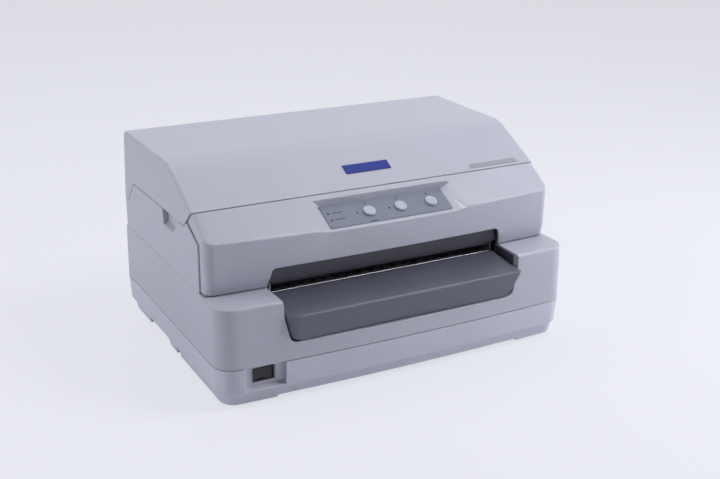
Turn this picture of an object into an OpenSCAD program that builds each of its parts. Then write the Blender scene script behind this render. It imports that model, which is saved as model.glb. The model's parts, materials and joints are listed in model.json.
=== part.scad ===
// Flatbed dot matrix printer with a hinged top cover and a tilting upper mechanism.
// Millimetres. X runs to the right, Y to the back, Z up.
// Origin: middle of the overall footprint, on the surface the feet stand on.

/* [Overall size] */
// Width over the lower shells
body_w = 384; // [376:1:396]
// Depth from the front edge of the table to the back wall
body_d = 280; // [276:1:288]
// Height to the flat top of the cover
body_h = 203; // [199:1:210]

/* [Shells] */
// Wall of the moulded shells
wall = 2.6; // [2.2:0.1:3]
// Visible gap along the seams between shells
seam_gap = 0.8; // [0.6:0.1:1.2]
// Height of the seam between lower case and main housing
case_h = 40.6; // [39.6:0.2:42]
// Height of the shoulder on which the bezel stands
shoulder_z = 99; // [98.4:0.2:99.6]
// Step from the lower side wall in to the upper side wall
side_step = 2; // [1.5:0.25:3]
// Height of the seam under the side of the cover
side_seam_z = 152; // [150:0.5:154]
// Edge radius of the cover
cover_edge_r = 3; // [2.8:0.2:5]
// Radius of the ridge between the flat top and the slanted front
ridge_r = 45; // [20:5:60]
// Height of the front edge of the cover
cover_front_z = 171; // [169:0.5:173]
// How far the cover's back leans forward at the top
cover_lean = 8; // [4:1:10]
// How far the middle of the front bulges
front_bow = 4.5; // [3:0.5:5]
// Thickness of the rubber feet
foot_h = 2.5; // [2:0.5:3.5]

/* [Paper path] */
// Height of the lower paper guide's surface
path_z = 91; // [90.6:0.1:91.2]
// Half width of the front table
table_hw = 128; // [124:1:130]
// Half width of the slot in the bezel
slot_hw = 129; // [127:1:131]
// Radius of the rubber on the feed rollers
feed_r = 8; // [7:0.25:8.5]
// Radius of the pinch rollers
pinch_r = 5; // [4.5:0.25:5.5]
// Distance from the front feed roller to the rear one
roller_pitch = 80; // [80:8:88]

/* [Mechanism] */
// Thickness of the steel frame plates
plate_t = 1.6; // [1.2:0.1:2]
// Radius of the feed roller shafts
shaft_r = 4; // [3.5:0.25:4.5]
// Radius of the carriage guide shaft
guide_r = 5; // [4.5:0.25:5.5]
// Half width of the carriage
carriage_hw = 23; // [21:1:25]
// Radius of the timing belt pulleys
pulley_r = 8; // [7.5:0.25:8.5]
// Radial running clearance of shafts and pins
run_gap = 0.05; // [0.03:0.01:0.08]
// Radius of the cover's hinge pins
pin_r = 1.75; // [1.5:0.05:1.9]

/* [Control panel] */
// Radius of the round push buttons
button_r = 6.2; // [5.6:0.1:6.6]
// Distance between button centres
button_pitch = 34.5; // [32:0.5:36]
// Width of the panel overlay
overlay_w = 135; // [130:1:137]

/* [Hidden] */

eps = 0.01;
hw = body_w / 2;                     // half width of the lower shells
back_y = body_d / 2;
front_y = -body_d / 2;               // front edge of the table
up_hw = hw - side_step;              // half width of cover and upper side walls
bezel_hw = up_hw - 1.5;
house_y = front_y + 6;               // front face of the housing at the seam
bezel_y = front_y + 45.5;            // front face of the bezel
ridge_z = 150;                       // ridge of the bezel
cover_y = bezel_y + 32;              // front edge of the cover
top_ridge_y = cover_y + 62.5;        // ridge of the cover
tail_z = side_seam_z - 22.5;         // seam under the cover's tail
tail_y = back_y - 14;
step_y = back_y - 32.5;
half_gap = seam_gap / 2;
ring_t = wall + 0.4;                 // wall of the main housing's lower ring
back_r = 5;                          // radius of the back corners
side_front_y = bezel_y + 16;         // upright seam between bezel and side wall
ledge_z = 15;                        // ledge round the lower case
case_floor = 8;
base_z = 5;                          // underside of the case

// hinge of the cover and of the tilting mechanism
knuckle_r = 3.5;
hinge_y = back_y - knuckle_r;
hinge_z = tail_z + half_gap + knuckle_r;
lug_x = up_hw - 21;                  // inner side of the housing's hinge lug
lug_w = 6;
pin_x0 = lug_x - 20;
pin_x1 = lug_x + lug_w + 6;
notch_r = 5.6;

// frame plates
frame_x = up_hw - 18;                // outer face of the fixed side frames
mech_x = frame_x - 7;                // outer face of the tilting side plates
mech_in = mech_x - plate_t;          // inner face of the tilting side plates
frame_in = frame_x - plate_t;

// rollers and gears
roller_z = path_z + 0.3 - feed_r;
pinch_z = path_z + 0.6 + pinch_r;
print_y = -5;                        // print line
front_roller_y = print_y - roller_pitch / 2;
rear_roller_y = print_y + roller_pitch / 2;
sleeve_w = 30;
sleeve_pitch = 50;
gear_m = 2;
roller_teeth = 22;
idler_teeth = round((roller_pitch - gear_m * roller_teeth) / gear_m);
pinion_teeth = 10;
gear_x = frame_x + 1.5;
gear_w = 5;
pinion_z = roller_z - gear_m * (idler_teeth + pinion_teeth) / 2;

// carriage guides
deck_front = bezel_y + 10.5;
guide_y = print_y + 33;
guide_z = 114;
belt_y = print_y + 65;
belt_z = 114;
belt_w = 6;
belt_t = 1.4;
pulley_x = mech_in - 23.4;
deck_z = 116.5;                      // front deck
rear_deck_z = 122.4;
carriage_z = 104;
carriage_top = 128;
rail_y = print_y - 23;
rail_z = 104;
rail_h = 8;
lever_y = deck_front + 16;
lever_z = 108;
lever_r = 3;

// control panel: local x to the right, y up the slope, z out of the panel
panel_y = bezel_y - front_bow;
panel_z = ridge_z - 4.9;
panel_tilt = 26.2;
panel_len = 35.4;
panel_x = 3.5;                       // middle of the panel
overlay_x0 = panel_x - overlay_w / 2;
overlay_x1 = panel_x + overlay_w / 2;
overlay_t = 0.8;
button_s = 18;
button_x0 = 17.5;                    // middle button
button_gap = 0.15;
button_out = 2.2;

// colours
shell_c = [0.70, 0.70, 0.76];
dark_c = [0.30, 0.31, 0.35];
steel_c = [0.72, 0.73, 0.75];
black_c = [0.08, 0.08, 0.09];
board_c = [0.12, 0.36, 0.24];

// ---------- helpers ----------

function arc(cx, cy, r, a0, a1, n) =
  [for (i = [0:n]) let (a = a0 + (a1 - a0) * i / n) [cx + r * cos(a), cy + r * sin(a)]];

function round_rect(w, y0, y1, r0, r1, n = 6) = concat(
  arc(w - r0, y0 + r0, r0, -90, 0, n), arc(w - r1, y1 - r1, r1, 0, 90, n),
  arc(-w + r1, y1 - r1, r1, 90, 180, n), arc(-w + r0, y0 + r0, r0, 180, 270, n));

// the same with a front edge that bulges in the middle
function bowed_rect(w, y0, y1, r0, r1) = concat(round_rect(w, y0 + front_bow, y1, r0, r1),
  [for (u = [-0.75:0.25:0.75]) [u * (w - r0), y0 + front_bow * u * u]]);

function mirror_x(pts) = [for (i = [len(pts) - 1:-1:0]) [-pts[i][0], pts[i][1]]];

// thin rounded plate used as one section of a hull
module slab(z, w, y0, y1, r0, r1)
  translate([0, 0, z]) linear_extrude(eps) polygon(round_rect(w, y0, y1, r0, r1));

module bowed_slab(z, w, y0, y1, r0, r1)
  translate([0, 0, z]) linear_extrude(eps) polygon(bowed_rect(w, y0, y1, r0, r1));

// a profile given in Y and Z, drawn out along X
module along_x(x0, x1) translate([x0, 0, 0]) rotate([90, 0, 90]) linear_extrude(x1 - x0) children();

// a profile given in X and Z, drawn out along Y
module along_y(y0, y1) translate([0, y1, 0]) rotate([90, 0, 0]) linear_extrude(y1 - y0) children();

module rod_x(x0, x1, y, z, r, fn = 48)
  translate([x0, y, z]) rotate([0, 90, 0]) cylinder(h = x1 - x0, r = r, $fn = fn);

module rod_z(x, y, z0, z1, r, fn = 32) translate([x, y, z0]) cylinder(h = z1 - z0, r = r, $fn = fn);

module block(x0, x1, y0, y1, z0, z1) translate([x0, y0, z0]) cube([x1 - x0, y1 - y0, z1 - z0]);

module both_sides() { children(); mirror([1, 0, 0]) children(); }

module on_panel() translate([0, panel_y, panel_z]) rotate([panel_tilt, 0, 0]) children();

// ---------- seam under the cover ----------

diag_n = [0.684, 0.729];             // normal of the seam's slanted front stretch
function seam_path(g) = [
  [cover_y - 22 + g * diag_n[0], cover_front_z + 0.3 + 22 * diag_n[0] / diag_n[1] + g * diag_n[1]],
  [cover_y + g * diag_n[0], cover_front_z + 0.3 + g * diag_n[1]],
  [cover_y + 19 + 0.4 * g, side_seam_z + 1.5 + g],
  [step_y + 0.465 * g, side_seam_z - 0.5 + g],
  [tail_y + 0.465 * g, tail_z + g],
  [back_y + 5, tail_z + g]];

module below_seam(g) along_x(-hw - 5, hw + 5)
  polygon(concat(seam_path(g), [[back_y + 5, -20], [front_y - 60, -20], [front_y - 60, cover_front_z + 21]]));

module above_seam(g) along_x(-hw - 5, hw + 5)
  polygon(concat(seam_path(g), [[back_y + 5, body_h + 40], [cover_y - 22, body_h + 40]]));

// ---------- top cover ----------

cover_slope = atan((body_h - cover_front_z) / (top_ridge_y - cover_y));

back_lean = atan(cover_lean / (body_h - hinge_z));
function cover_back(z) = back_y - (z - hinge_z) * tan(back_lean);

function cover_profile(d) =
  let (a = cover_slope, b = back_lean, rb = max(6 - d, 0.5), y0 = cover_y - 12, zb = body_h - d - rb)
  concat([[y0, tail_z - 6], [y0, body_h + (y0 - top_ridge_y) * tan(a) - d / cos(a)]],
    arc(top_ridge_y + ridge_r * tan(a / 2), body_h - ridge_r, ridge_r - d, 90 + a, 90, 7),
    arc(cover_back(zb) - (d + rb) / cos(b), zb, rb, 90, b, 4),
    [[back_y - d / cos(b), hinge_z], [back_y - d, tail_z - 6]]);

module cover_block(w, r, d)
  hull() for (s = [-1, 1], k = [0:4])
    translate([s * (w - r + r * sin(22.5 * k)), 0, 0])
      along_x(-eps / 2, eps / 2) polygon(cover_profile(d + r * (1 - cos(22.5 * k))));

module cover_knuckle() {
  rod_x(-up_hw + 1, up_hw - 1, hinge_y, hinge_z, knuckle_r);
  along_x(-up_hw + 1, up_hw - 1) polygon([[hinge_y, hinge_z], [back_y, hinge_z],
    [cover_back(hinge_z + 6), hinge_z + 6], [hinge_y, hinge_z + 6]]);
}

module top_cover() color(shell_c) difference() {
  union() {
    difference() {
      cover_block(up_hw, cover_edge_r, 0);
      cover_block(up_hw - wall, max(cover_edge_r - wall, 0.2), wall);
      below_seam(half_gap);
      // round the lower back edge about the hinge
      difference() {
        block(-hw, hw, hinge_y, back_y + 1, tail_z - 1, hinge_z);
        rod_x(-hw - 1, hw + 1, hinge_y, hinge_z, knuckle_r - 0.1);
      }
    }
    cover_knuckle();
    // stiffening ribs under the flat top
    for (x = [-120, -40, 40, 120])
      block(x - 1, x + 1, top_ridge_y + 15, cover_back(body_h) - wall, body_h - wall - 5,
        body_h - wall + 0.2);
    block(-up_hw + wall, up_hw - wall, top_ridge_y + 60, top_ridge_y + 62,
      body_h - wall - 5, body_h - wall + 0.2);
  }
  both_sides() {
    rod_x(mech_in - 0.6, lug_x + lug_w + 0.5, hinge_y, hinge_z, notch_r);
    rod_x(pin_x0 - 0.4, pin_x1 + 0.4, hinge_y, hinge_z, pin_r + run_gap);
  }
}

// ---------- lower case ----------

foot_x = hw - 34;
foot_y0 = house_y + 26;
foot_y1 = back_y - 30;
block_x = hw - 55;                   // inner end of the skirt's front blocks
switch_x = -hw + 44;
switch_z = 30;
switch_y = house_y + 9.6;            // face on which the switch is clipped

module case_foot(x0, x1, y0, y1) hull() {
  block(x0, x1, y0, y1, foot_h, foot_h + 1);
  block(x0 - 2, x1 + 2, y0 - 2, y1 + 2, case_floor - 1, case_floor);
}

boss_top = 10;
base_hw = frame_in - 16.4;           // half width of the base plate
base_y0 = house_y + 58;
base_y1 = back_y - 14;
boss_x = base_hw - 24;
boss_xy = [[-boss_x, base_y0 + 16], [boss_x, base_y0 + 16], [-boss_x, 10], [boss_x, 10],
  [-25, base_y1 - 16], [base_hw - 4, base_y1 - 16]];

module lower_case() color(shell_c) difference() {
  union() {
    difference() {
      union() {
        hull() {
          bowed_slab(ledge_z, hw - 1.6, house_y + 1.2, back_y - 1, 19, back_r);
          bowed_slab(case_h - half_gap - eps, hw, house_y, back_y, 20, back_r);
        }
        hull() {
          bowed_slab(foot_h + 0.3, hw - 6.5, house_y + 6, back_y - 4, 15, back_r);
          bowed_slab(ledge_z + 1, hw - 3.6, house_y + 3.2, back_y - 2.5, 18, back_r);
        }
      }
      hull() {
        bowed_slab(case_floor, hw - 17, house_y + 14, back_y - 9, 12, back_r - wall);
        bowed_slab(case_h + 1, hw - wall, house_y + wall, back_y - wall, 17, back_r - wall);
      }
      // hollow under the floor and the gap between the skirt's front blocks
      translate([0, 0, -1]) linear_extrude(base_z + 1)
        polygon(round_rect(hw - 10, house_y + 14, back_y - 8, 8, 3));
      along_y(house_y - 5, house_y + 15) polygon([[-block_x, 0], [-block_x + 4, base_z],
        [block_x - 4, base_z], [block_x, 0]]);
    }
    // tongue that stands inside the main housing
    translate([0, 0, case_h - 6]) linear_extrude(10) difference() {
      polygon(bowed_rect(hw - ring_t - 0.3, house_y + ring_t + 0.4, back_y - ring_t - 0.3, 17, 2));
      polygon(bowed_rect(hw - ring_t - 2, house_y + ring_t + 2, back_y - ring_t - 2, 15.5, 1));
    }
    both_sides() {
      case_foot(foot_x - 17, foot_x + 17, house_y + 15, house_y + 38);
      case_foot(foot_x - 17, foot_x + 17, back_y - 44, back_y - 12);
      block(foot_x - 10, foot_x + 19, 50, 70, foot_h + 0.5, case_floor);
    }
    for (p = boss_xy) rod_z(p[0], p[1], case_floor - 1, boss_top, 5);
    // pocket of the power switch
    block(switch_x - 23, switch_x + 25, house_y + 6, switch_y + wall, ledge_z + 0.5, case_h - half_gap);
  }
  // recess in front of the power switch
  along_x(switch_x - 19, switch_x + 20.5)
    polygon([[house_y - 5, ledge_z - 1.5], [house_y + 4, ledge_z + 2], [switch_y, ledge_z + 4],
      [switch_y, case_h + 8], [house_y - 5, case_h + 8]]);
  block(switch_x - 9.6, switch_x + 9.6, switch_y - 1, switch_y + wall + 3, switch_z - 6.2, switch_z + 6.2);
  // notches in the lower edge of the sides
  both_sides() {
    along_x(foot_x + 21, hw + 1)
      polygon([[23, 0], [26, 14], [84, 14], [87, 0]]);
    block(foot_x + 21, hw + 1, -6, 4, 0, 9);
  }
  for (p = boss_xy) rod_z(p[0], p[1], case_floor - 1, boss_top + 1, 1.5);
  // ports in the back wall
  port_cuts();
}

module port_cuts() {
  for (q = ports) block(q[0] - q[1] / 2 - 0.2, q[0] + q[1] / 2 + 0.2, back_y - 12, back_y + 1,
    board_top - 0.2, port_z + q[2] + 0.2);
}

module rubber_feet() color(black_c) both_sides() for (y = [foot_y0, foot_y1])
  rod_z(foot_x, y, 0, foot_h, 9);

// ---------- main housing ----------

function table_outline(g) = let (r = [
  [table_hw + g, shoulder_z + 3], [table_hw + g, 84], [table_hw - 5.4 + g, 63.5],
  [table_hw - 6.6 + g, 60.6 - g * 0.4], [table_hw - 8.8 + g * 0.7, 58.9 - g * 0.8],
  [table_hw - 12, 58.2 - g]])
  concat(r, mirror_x(r));

bay_back = bezel_y + 7;
table_back = bay_back - wall - 0.4;

module housing_ring(d) hull() {
  bowed_slab(case_h + half_gap - (d > 0 ? 1 : 0), hw - d, house_y + d, back_y - d, 20 - d, back_r - d);
  bowed_slab(shoulder_z - 7, hw - 0.2 * side_step - d, house_y + 1.8 + d, back_y - d, 19 - d, back_r - d);
  bowed_slab(shoulder_z - 1.8 - d, hw - 0.4 * side_step - d, house_y + 2.6 + d, back_y - d, 18 - d,
      back_r - d);
  bowed_slab(shoulder_z - d - eps, hw - side_step - d * 0.4, house_y + 4.6 + d, back_y - d, 15, back_r - d);
}

module side_region() along_x(-hw - 5, hw + 5) polygon([
  [side_front_y + half_gap, shoulder_z - 8], [side_front_y + half_gap, ridge_z - 4.6],
  [cover_y + 12.5 + half_gap, ridge_z + 9], [cover_y + 12.5, body_h],
  [back_y + 5, body_h], [back_y + 5, shoulder_z - 8]]);

recess_z = 136.5;
module finger_scoop() both_sides() intersection() {
  along_y(-40, 30) polygon([[up_hw + 0.2, recess_z], [up_hw - 5, recess_z + 3],
    [up_hw - 6.5, side_seam_z + 2], [up_hw + 2, side_seam_z + 2], [up_hw + 2, recess_z]]);
  along_x(0, hw) polygon([[17, side_seam_z + 3], [14, recess_z - 1], [-11, recess_z - 1],
    [-29, side_seam_z + 3]]);
}

module main_housing() color(shell_c) difference() {
  union() {
    difference() {
      housing_ring(0);
      housing_ring(ring_t);
      block(-up_hw + wall, up_hw - wall, side_front_y + 2, back_y - wall, shoulder_z - 9, body_h);
      block(-frame_in + 0.6, frame_in - 0.6, bay_back + 1, side_front_y + 3, shoulder_z - 9, body_h);
      block(-table_hw - 4, table_hw + 4, bay_back, side_front_y, shoulder_z - 9, body_h);
    }
    // upper side walls and back wall
    difference() {
      translate([0, 0, shoulder_z - 4]) linear_extrude(side_seam_z + 14 - shoulder_z)
        polygon(round_rect(up_hw, side_front_y - 10, back_y, 1, back_r - 1));
      block(-up_hw + wall, up_hw - wall, -200, back_y - wall, 0, 300);
      difference() { block(-300, 300, -300, 300, 0, 300); side_region(); }
      above_seam(-half_gap);
    }
    // backs of the finger recesses
    both_sides() along_y(-32, 20) polygon([[up_hw - wall + 0.2, recess_z - 5],
      [up_hw - wall + 0.2, side_seam_z - 0.4], [up_hw - 9.2, side_seam_z - 0.4],
      [up_hw - 9.2, side_seam_z - 2], [up_hw - 7.6, recess_z + 1]]);
    // bay for the front table
    intersection() {
      along_y(house_y + 3.2, bay_back) intersection() {
        polygon(table_outline(3.4));
        square([600, 2 * (shoulder_z - 3.5)], center = true);
      }
      housing_ring(0);
    }
    // hinge lugs on the back wall
    both_sides() {
      block(lug_x, lug_x + lug_w, hinge_y - 3.3, back_y, tail_z - 12, hinge_z);
      rod_x(lug_x, lug_x + lug_w, hinge_y, hinge_z, 3.3);
      block(lug_x, lug_x + lug_w, hinge_y - 3.3, back_y - wall + 0.2, tail_z - 16, tail_z - 6);
    }
    // bosses that stand on the frames' feet and tie the two shells
    both_sides() for (y = [house_y + 34, back_y - 13]) {
      rod_z(hw - 17, y, case_h - 8, shoulder_z - 12, 4.5);
      block(hw - 18, hw - 2, y - 1, y + 1, case_h + 5, shoulder_z - 12);
    }
  }
  // opening of the bay
  along_y(house_y - 10, bay_back - wall) polygon(table_outline(0.8));
  block(-table_hw - 1, table_hw + 1, bay_back - wall - 1, bay_back + 1, path_z - 3.8, shoulder_z + 2);
  finger_scoop();
  // paper slot in the back wall
  block(-125, 125, back_y - 10, back_y + 1, path_z - 2, path_z + 10);
  both_sides() rod_x(lug_x - 1, lug_x + lug_w + 1, hinge_y, hinge_z, pin_r + run_gap);
  // relief for the back edge of the cover
  both_sides() block(lug_x + lug_w, hw, hinge_y - 8, back_y + 1, tail_z - half_gap, hinge_z + 10);
  block(inlet_x - 13.7, inlet_x + 13.7, back_y - 10, back_y + 1, inlet_z - 10.2, inlet_z + 10.2);
  block(-hw, hw, back_y - 8, back_y + 2, case_h - 3, case_h + half_gap);
}

module hinge_pins() color(steel_c) both_sides() rod_x(pin_x0, pin_x1, hinge_y, hinge_z, pin_r);

// ---------- front table ----------

table_rib_x = [-80, 0, 80];

module front_table() color(dark_c) {
  difference() {
    hull() {
      slab(57.9, table_hw - 12, front_y + 9.4, table_back, 6, 1);
      slab(59.6, table_hw - 8.2, front_y + 8.6, table_back, 7, 1);
      slab(63, table_hw - 5.6, front_y + 7.4, table_back, 8, 1);
      slab(83, table_hw, front_y + 0.8, table_back, 14, 1);
      slab(85.5, table_hw, front_y, table_back, 14, 1);
      slab(87 - eps, table_hw - 0.9, front_y + 1.1, table_back, 13, 1);
      // the right corner is tighter than the left one
      rod_z(table_hw - 12, front_y + 13.4, 63, 63.2, 6);
      rod_z(table_hw - 6, front_y + 6.6, 83, 83.2, 6);
      rod_z(table_hw - 6, front_y + 6, 85.3, 85.5, 6);
      block(-table_hw + 3, table_hw - 3, bay_back - 0.6, bay_back + 0.4, path_z - 1, path_z + 0.3);
    }
    difference() {
      hull() {
        slab(50, table_hw - 12, front_y + 12, bay_back + 2, 5, 1);
        slab(63, table_hw - 8, front_y + 10.2, bay_back + 2, 6, 1);
        slab(83.2, table_hw - 2.6, front_y + 3, bay_back + 2, 11, 1);
        block(-table_hw + 6, table_hw - 6, bay_back + 1, bay_back + 2, path_z - 3, path_z - 2.4);
      }
      for (x = table_rib_x) block(x - 1, x + 1, front_y, table_back, 0, path_z);
    }
    // clear of the bay's back wall
    block(-hw, hw, table_back, bay_back + 2, 0, path_z - 3.6);
  }
  // feet on the floor of the bay
  for (x = table_rib_x) block(x - 1, x + 1, front_y + 13, table_back, 57.5, 59.5);
}

// ---------- fixed frame ----------

frame_y0 = house_y + 50;
frame_y1 = back_y - 20;
frame_top = shoulder_z - ring_t;
frame_shape = [[frame_y0, frame_top - 18], [frame_y0, case_floor], [frame_y0 + 24, case_floor],
  [frame_y0 + 32, 24], [print_y - 15, 24], [print_y - 5, 12], [print_y + 25, 12], [print_y + 35, 24],
  [frame_y1 - 34, 24], [frame_y1 - 24, case_floor], [frame_y1, case_floor], [frame_y1, frame_top - 8],
  [frame_y1 - 8, frame_top], [frame_y0 + 18, frame_top], [frame_y0 + 8, frame_top - 6]];

module side_frame() {
  difference() {
    along_x(frame_in, frame_x) polygon(frame_shape);
    for (y = [front_roller_y, rear_roller_y])
      rod_x(frame_in - 1, frame_x + 1, y, roller_z, shaft_r + run_gap);
    rod_x(frame_in - 1, frame_x + 1, frame_y1 - 40, 55, 14);
    rod_x(frame_in - 1, frame_x + 1, print_y, pinion_z, 11.05);
    along_x(frame_in - 1, frame_x + 1) translate([frame_y0, 0])
      polygon([[12, 34], [36, 34], [44, 48], [44, 62], [12, 62]]);
  }
  // feet bent inward, ties to the base plate
  for (y = [frame_y0, frame_y1 - 22])
    block(frame_x - 12, frame_in + 0.2, y, y + 22, case_floor, case_floor + plate_t);
  // stud beside which the release lever stands
  rod_x(mech_x + 0.4, frame_in + 0.2, lever_y + 6.8, path_z - 4.5, 2.5);
}

module side_frame_right() color(steel_c) {
  side_frame();
  rod_x(frame_x - 0.2, gear_x + gear_w, print_y, roller_z, shaft_r);
}
module side_frame_left() color(steel_c) mirror([1, 0, 0]) side_frame();

module lower_guide_plate() color(steel_c) difference() {
  union() {
    block(-mech_in + 2, mech_in - 2, bay_back + 0.7, back_y - wall - 0.4, path_z - 1.5, path_z);
    for (y = [-32, 60]) block(-frame_in + 0.1, frame_in - 0.1, y, y + 14, path_z - 1.5, path_z);
    // side guides of the front slot
    both_sides() block(table_hw - 5, table_hw - 3.5, bay_back + 0.7, bay_back + 22,
      path_z - 0.2, path_z + 9.3);
    // folded front and back edges
    block(-mech_in + 2, mech_in - 2, bay_back + 0.7, bay_back + 2.2, path_z - 8, path_z);
    block(-120, 120, back_y - wall - 1.9, back_y - wall - 0.4, path_z - 8, path_z);
  }
  for (y = [front_roller_y, rear_roller_y], k = [-2:2])
    block(k * sleeve_pitch - sleeve_w / 2 - 2, k * sleeve_pitch + sleeve_w / 2 + 2,
      y - 7.2, y + 7.2, path_z - 3, path_z + 1);
  block(-132, 132, print_y - 9.5, print_y + 9.5, path_z - 3, path_z + 1);
}

module platen_bar() color(steel_c) {
  block(-130, 130, print_y - 9, print_y + 9, path_z - 9, path_z - 0.2);
  block(-frame_in + 0.1, frame_in - 0.1, print_y - 6, print_y + 6, path_z - 9, path_z - 2);
}

board_top = 19.6;
board_t = 1.6;
board_x0 = -14;
board_x1 = base_hw - 4;
board_y0 = 30;
board_y1 = back_y - 18;
post_x = [board_x0 + 14, board_x1 - 10];
post_y = [board_y0 + 10, board_y1 - 10];

module base_plate() color(steel_c) difference() {
  union() {
    block(-base_hw, base_hw + 2, base_y0, base_y1, boss_top, boss_top + plate_t);
    block(-base_hw, base_hw + 2, base_y0, base_y0 + plate_t, boss_top, boss_top + 8);
    for (x = post_x, y = post_y) rod_z(x, y, boss_top, board_top - board_t, 3);
  }
  for (p = boss_xy) rod_z(p[0], p[1], boss_top - 1, boss_top + 5, 1.6);
  for (x = post_x, y = post_y) rod_z(x, y, boss_top - 1, board_top, 1.4);
}

module frame_screws() color(steel_c) for (p = boss_xy) {
  rod_z(p[0], p[1], boss_top + plate_t, boss_top + plate_t + 2, 3);
  rod_z(p[0], p[1], boss_top - 2.5, boss_top + plate_t + 0.1, 1.45);
}

// ports: centre x, width, height
ports = [[105, 13, 11.5], [58, 56, 12], [4, 32, 12]];
port_z = board_top + 1.2;
port_y = back_y - 24;                // front of the port housings

// chips and capacitors: corner, width, depth, height
chips = [[60, port_y - 46, 24, 24, 3], [board_x1 - 50, port_y - 44, 18, 12, 2.6],
  [20, port_y - 50, 14, 22, 3], [board_x1 - 26, port_y - 20, 16, 10, 6]];

module main_board() color(board_c) {
  difference() {
    block(board_x0, board_x1, board_y0, board_y1, board_top - board_t, board_top);
    for (x = post_x, y = post_y) rod_z(x, y, board_top - board_t - 1, board_top + 1, 1.5);
  }
  for (q = chips) block(q[0], q[0] + q[2], q[1], q[1] + q[3], board_top - 0.1, board_top + q[4]);
  for (x = [34, 46, 58]) rod_z(x, board_y0 + 12, board_top - 0.1, board_top + 14.4, 5);
}

module port_shell(q) difference() {
  block(q[0] - q[1] / 2, q[0] + q[1] / 2, port_y, back_y - 0.6, board_top, port_z + q[2]);
  block(q[0] - q[1] / 2 + 2, q[0] + q[1] / 2 - 2, back_y - 9, back_y + 1, port_z + 2, port_z + q[2] - 2);
}
module usb_port() color(steel_c) {
  port_shell(ports[0]);
  block(ports[0][0] - 2.6, ports[0][0] + 2.6, back_y - 10, back_y - 2, port_z + 3.6, port_z + 7.6);
}
module parallel_port() color(steel_c) {
  port_shell(ports[1]);
  block(ports[1][0] - 22, ports[1][0] + 22, back_y - 10, back_y - 2, port_z + 4.6, port_z + 7.4);
}
module serial_port() color(steel_c) {
  port_shell(ports[2]);
  for (k = [-2:2]) translate([ports[2][0] + k * 2.8, back_y - 10, port_z + 7.6]) rotate([-90, 0, 0])
    cylinder(h = 6, r = 0.5, $fn = 16);
  for (k = [-1.5:1.5]) translate([ports[2][0] + k * 2.8, back_y - 10, port_z + 4.6]) rotate([-90, 0, 0])
    cylinder(h = 6, r = 0.5, $fn = 16);
}

psu_x0 = -base_hw + 4;
psu_x1 = psu_x0 + 90;
psu_y0 = board_y0;
psu_y1 = back_y - 25.2;
psu_top = 74;
inlet_x = psu_x0 + 40;
inlet_z = 62;
module ac_inlet() color(black_c) difference() {
  union() {
    block(inlet_x - 13.5, inlet_x + 13.5, back_y - 22, back_y - 0.4, inlet_z - 10, inlet_z + 10);
    block(inlet_x - 9, inlet_x + 9, psu_y1, back_y - 21, inlet_z - 6, inlet_z + 6);
  }
  difference() {
    block(inlet_x - 11.4, inlet_x + 11.4, back_y - 17, back_y + 1, inlet_z - 7.8, inlet_z + 7.8);
    for (q = [[-7, -1.5], [0, 2.5], [7, -1.5]])
      block(inlet_x + q[0] - 1, inlet_x + q[0] + 1, back_y - 18, back_y - 4,
        inlet_z + q[1] - 2, inlet_z + q[1] + 2);
  }
}

module power_supply() color(steel_c) difference() {
  block(psu_x0, psu_x1, psu_y0, psu_y1, boss_top + plate_t, psu_top);
  block(psu_x0 + 1.5, psu_x1 - 1.5, psu_y0 + 1.5, psu_y1 - 1.5, boss_top + 2 * plate_t, psu_top - 1.5);
  for (x = [psu_x0 + 8:8:psu_x1 - 8]) block(x, x + 4, psu_y0 + 15, psu_y1 - 30, psu_top - 3, psu_top + 2);
}

module power_switch_body() color(black_c) difference() {
  union() {
    block(switch_x - 10.75, switch_x + 10.75, switch_y - 1.6, switch_y, switch_z - 6.6, switch_z + 6.6);
    block(switch_x - 9.4, switch_x + 9.4, switch_y - 0.1, switch_y + 14, switch_z - 6, switch_z + 6);
  }
  block(switch_x - 8.8, switch_x + 8.8, switch_y - 3, switch_y + 9, switch_z - 5.3, switch_z + 5.3);
  rod_z(switch_x, rocker_y, switch_z - 6.1, switch_z + 6.1, 1.05);
}

rocker_y = switch_y + 3.6;
rocker_tilt = 6;
rocker_h = 10.2;
rocker_shape = [[-8.2, -4.6], [0, -3.4], [8.2, -4.6], [7.6, 1.2], [2.6, 3.2], [-2.6, 3.2], [-7.6, 1.2]];
module power_rocker() color(black_c)
  translate([switch_x, rocker_y, switch_z - rocker_h / 2]) rotate([0, 0, -rocker_tilt]) {
    linear_extrude(rocker_h) polygon(rocker_shape);
    rod_z(0, 0, -0.8, rocker_h + 0.8, 1);
  }

// ---------- feed train ----------

function gear_points(n, off) = [for (k = [0:n - 1]) let (p = 360 / n, a = p * (k + off), r = gear_m * n / 2)
  each [for (q = [[-0.30, -1.15], [-0.13, 0.8], [0.13, 0.8], [0.30, -1.15]])
    [(r + q[1] * gear_m) * cos(a + q[0] * p), (r + q[1] * gear_m) * sin(a + q[0] * p)]]];

module spur_gear(n, off, y, z, bore, x0 = gear_x, w = gear_w) difference() {
  along_x(x0, x0 + w) translate([y, z]) polygon(gear_points(n, off));
  rod_x(x0 - 1, x0 + w + 1, y, z, bore);
}

module sleeves(y, z, r) for (k = [-2:2])
  rod_x(k * sleeve_pitch - sleeve_w / 2, k * sleeve_pitch + sleeve_w / 2, y, z, r);

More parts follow.
